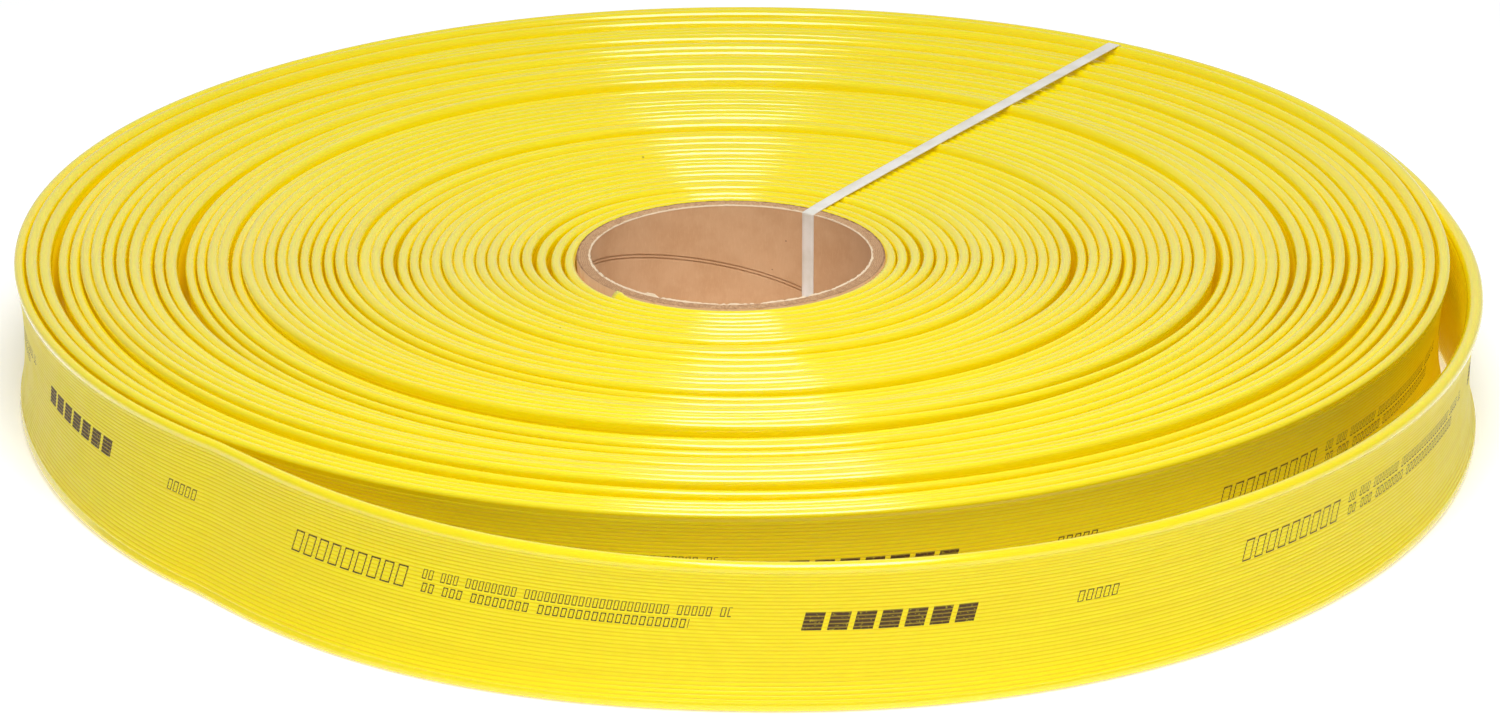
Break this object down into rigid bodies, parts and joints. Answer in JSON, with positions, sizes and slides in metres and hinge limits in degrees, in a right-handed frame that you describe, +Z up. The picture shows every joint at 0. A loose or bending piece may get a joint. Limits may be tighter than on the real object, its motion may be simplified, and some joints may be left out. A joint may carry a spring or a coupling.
{
  "type": "rolled fire hose",
  "caption": "Flat-wound roll of ribbed lay-flat fire hose on a cardboard core, held by a strap, with a loose outer turn that peels open.",
  "frame": {"origin": "on the floor, under the centre of the whole footprint", "axes": "+Z up along the core's axis; -Y towards the loose side of the outer turn"},
  "size_m": [1.0536, 1.1062, 0.1128],
  "materials": {
    "hose_cover": "satin",
    "core_board": "matte",
    "strap_plastic": "satin"
  },
  "bodies": {
    "roll": {"cardboard_core": "core_board", "hose_roll": "hose_cover", "strap": "strap_plastic"},
    "loose_1": {"loose_turn_1": "hose_cover"},
    "loose_2": {"loose_turn_2": "hose_cover"},
    "loose_3": {"loose_turn_3": "hose_cover"},
    "loose_4": {"loose_turn_4": "hose_cover"},
    "loose_5": {"loose_turn_5": "hose_cover"},
    "loose_6": {"loose_turn_6": "hose_cover"}
  },
  "joints": [
    {"name": "peel_1", "type": "hinge", "parent": "roll", "child": "loose_1", "pos_m": [-0.44934, -0.25078, 0.0525], "axis": [0, 0, -1], "range_deg": [0, 10]},
    {"name": "peel_2", "type": "hinge", "parent": "loose_1", "child": "loose_2", "pos_m": [-0.2616, -0.46527, 0.0525], "axis": [0, 0, -1], "range_deg": [0, 10]},
    {"name": "peel_3", "type": "hinge", "parent": "loose_2", "child": "loose_3", "pos_m": [0.02539, -0.54956, 0.0525], "axis": [0, 0, -1], "range_deg": [0, 10]},
    {"name": "peel_4", "type": "hinge", "parent": "loose_3", "child": "loose_4", "pos_m": [0.31254, -0.45198, 0.0525], "axis": [0, 0, -1], "range_deg": [0, 10]},
    {"name": "peel_5", "type": "hinge", "parent": "loose_4", "child": "loose_5", "pos_m": [0.48676, -0.21318, 0.0525], "axis": [0, 0, -1], "range_deg": [0, 10]},
    {"name": "peel_6", "type": "hinge", "parent": "loose_5", "child": "loose_6", "pos_m": [0.51971, 0.0651, 0.0525], "axis": [0, 0, -1], "range_deg": [0, 10]}
  ],
  "couplings": [
    {"joint": "peel_2", "follows": "peel_1", "ratio": 1},
    {"joint": "peel_3", "follows": "peel_1", "ratio": 1},
    {"joint": "peel_4", "follows": "peel_1", "ratio": 1},
    {"joint": "peel_5", "follows": "peel_1", "ratio": 1},
    {"joint": "peel_6", "follows": "peel_1", "ratio": 1}
  ]
}
